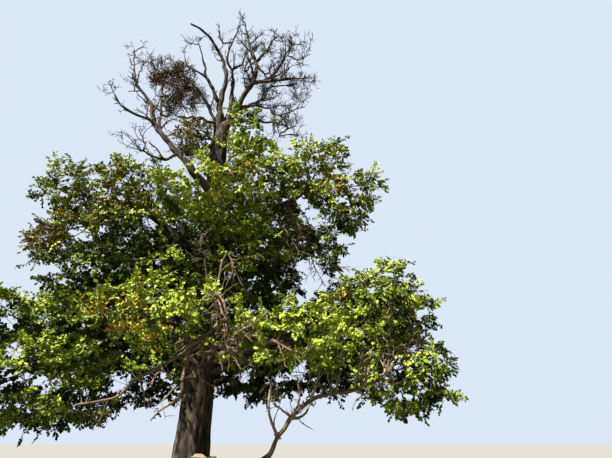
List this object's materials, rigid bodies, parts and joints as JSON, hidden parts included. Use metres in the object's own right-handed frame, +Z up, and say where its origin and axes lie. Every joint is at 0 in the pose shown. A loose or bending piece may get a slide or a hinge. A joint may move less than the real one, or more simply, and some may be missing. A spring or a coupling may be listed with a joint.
{
  "type": "oak tree",
  "caption": "Old stag-headed oak: a full leafy crown round a straight trunk, with bare dead boughs standing above it and dead limbs hanging in it.",
  "frame": {"origin": "middle of the flat cut at the foot of the trunk, at ground level", "axes": "+Z up along the trunk; +X to the right and +Y away, seen as in the picture"},
  "size_m": [15.3983, 12.1887, 21.0077],
  "materials": {
    "bark": "rough, deeply fissured",
    "dead_wood": "weathered, bare, with patches of orange lichen",
    "leaves": "sunlit summer leaves",
    "shaded_leaves": "darker leaves inside the crown",
    "olive_twigs": "olive-brown clumps of fine twigs and small leaves",
    "dead_twigs": "dry brown tangle of twigs"
  },
  "bodies": {
    "root": {"back_bough": "bark", "back_left_bough": "bark", "back_left_mass": "leaves", "back_middle_mass": "leaves", "back_right_bough": "bark", "back_right_mass": "leaves", "back_upper_left": "leaves", "back_upper_right": "leaves", "broken_bough": "dead_wood", "crown_heart": "leaves", "crown_peak": "leaves", "dead_twig_clump": "dead_twigs", "drooping_limb": "dead_wood", "drooping_mass": "shaded_leaves", "front_left_bough": "bark", "front_left_mass": "leaves", "front_right_bough": "bark", "front_right_mass": "leaves", "hanging_limb_left": "dead_wood", "hanging_limb_middle": "dead_wood", "hanging_limb_right": "dead_wood", "heart_left": "shaded_leaves", "left_arm": "dead_wood", "left_bough": "dead_wood", "left_bough_top": "dead_wood", "left_fork": "dead_wood", "left_fork_spire": "dead_wood", "left_low_arm": "dead_wood", "left_outer_clump": "olive_twigs", "left_shoulder": "leaves", "left_side_arm": "dead_wood", "left_side_bough": "bark", "left_skirt_low": "leaves", "left_skirt_top": "leaves", "left_upright": "dead_wood", "long_leader": "dead_wood", "low_left_mass": "shaded_leaves", "low_middle_mass": "shaded_leaves", "lower_right_arm": "dead_wood", "middle_leader": "dead_wood", "middle_mass": "shaded_leaves", "olive_clump": "olive_twigs", "rear_arm": "dead_wood", "right_arm": "dead_wood", "right_arm_fork": "dead_wood", "right_leader": "dead_wood", "right_lobe": "leaves", "right_side_bough": "bark", "right_skirt": "leaves", "sweeping_bough": "dead_wood", "trunk": "bark", "upper_left_bough": "bark", "upper_left_low": "leaves", "upper_left_side": "leaves", "upper_left_top": "leaves", "upper_middle_right": "leaves", "upper_right_bough": "bark", "upper_right_fork": "dead_wood", "upper_right_tip": "leaves", "upper_right_top": "leaves"}
  },
  "joints": []
}
